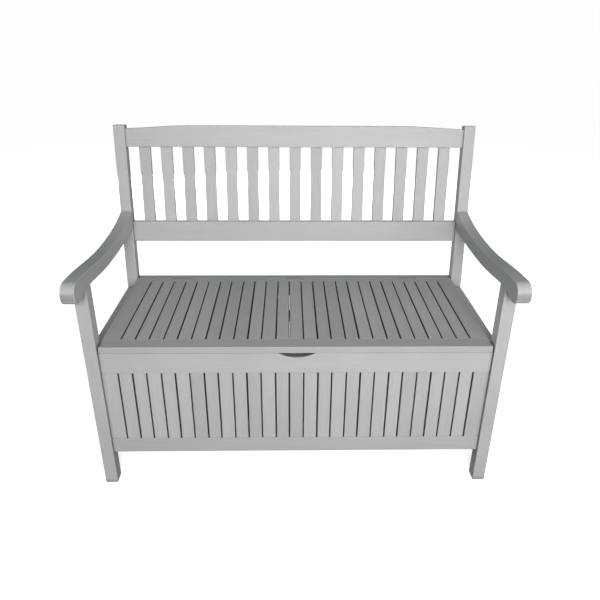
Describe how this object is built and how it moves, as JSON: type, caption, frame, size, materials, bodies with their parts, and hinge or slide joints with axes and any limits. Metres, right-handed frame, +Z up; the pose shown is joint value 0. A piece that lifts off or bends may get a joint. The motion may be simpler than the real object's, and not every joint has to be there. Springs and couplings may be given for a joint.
{
  "type": "storage bench",
  "caption": "Two-seat garden bench with a slatted storage box under a hinged lid, curved armrests and a reclined slatted back.",
  "frame": {"origin": "on the floor, in the middle of the bench's outline", "axes": "+X along the bench to the right of a person facing its front, +Y from front to back, +Z up"},
  "size_m": [1.1, 0.62, 0.9247],
  "materials": {
    "frame_paint": "satin paint over planed timber",
    "seat_paint": "satin paint over planed timber",
    "arm_paint": "satin paint over planed timber",
    "box_paint": "thin satin paint",
    "hinge_steel": "painted with the bench",
    "zinc_steel": "zinc plated"
  },
  "bodies": {
    "frame": {"armrest_left": "arm_paint", "armrest_right": "arm_paint", "back_crest_rail": "frame_paint", "back_lower_rail": "frame_paint", "back_slat_01": "frame_paint", "back_slat_02": "frame_paint", "back_slat_03": "frame_paint", "back_slat_04": "frame_paint", "back_slat_05": "frame_paint", "back_slat_06": "frame_paint", "back_slat_07": "frame_paint", "back_slat_08": "frame_paint", "back_slat_09": "frame_paint", "back_slat_10": "frame_paint", "back_slat_11": "frame_paint", "back_slat_12": "frame_paint", "back_slat_13": "frame_paint", "back_slat_14": "frame_paint", "back_slat_15": "frame_paint", "barrel_nuts": "zinc_steel", "floor_boards": "box_paint", "floor_ledger_front": "box_paint", "floor_ledger_rear": "box_paint", "frame_bolts": "zinc_steel", "front_board": "frame_paint", "front_bottom_rail": "frame_paint", "front_end_boards": "frame_paint", "front_leg_left": "frame_paint", "front_leg_right": "frame_paint", "front_slats": "frame_paint", "hinge_pins": "hinge_steel", "hinge_rail_leaves": "hinge_steel", "hinge_rail_screws": "zinc_steel", "lid_ledger_left": "frame_paint", "lid_ledger_right": "frame_paint", "rear_bottom_rail": "frame_paint", "rear_post_left": "frame_paint", "rear_post_right": "frame_paint", "rear_slats": "frame_paint", "seat_hinge_rail": "frame_paint", "side_bottom_rail_left": "frame_paint", "side_bottom_rail_right": "frame_paint", "side_slats_left": "frame_paint", "side_slats_right": "frame_paint", "side_top_rail_left": "frame_paint", "side_top_rail_right": "frame_paint"},
    "lid": {"hinge_lid_leaves": "hinge_steel", "hinge_lid_screws": "zinc_steel", "lid_batten_1": "seat_paint", "lid_batten_2": "seat_paint", "lid_batten_3": "seat_paint", "lid_front_rail": "seat_paint", "lid_rear_rail": "seat_paint", "lid_screws": "zinc_steel", "lid_side_boards": "seat_paint", "lid_slats": "seat_paint"}
  },
  "joints": [
    {"name": "lid_hinge", "type": "hinge", "parent": "frame", "child": "lid", "pos_m": [0, 0.21791, 0.445], "axis": [-1, 0, 0], "range_deg": [0, 97.8]}
  ]
}
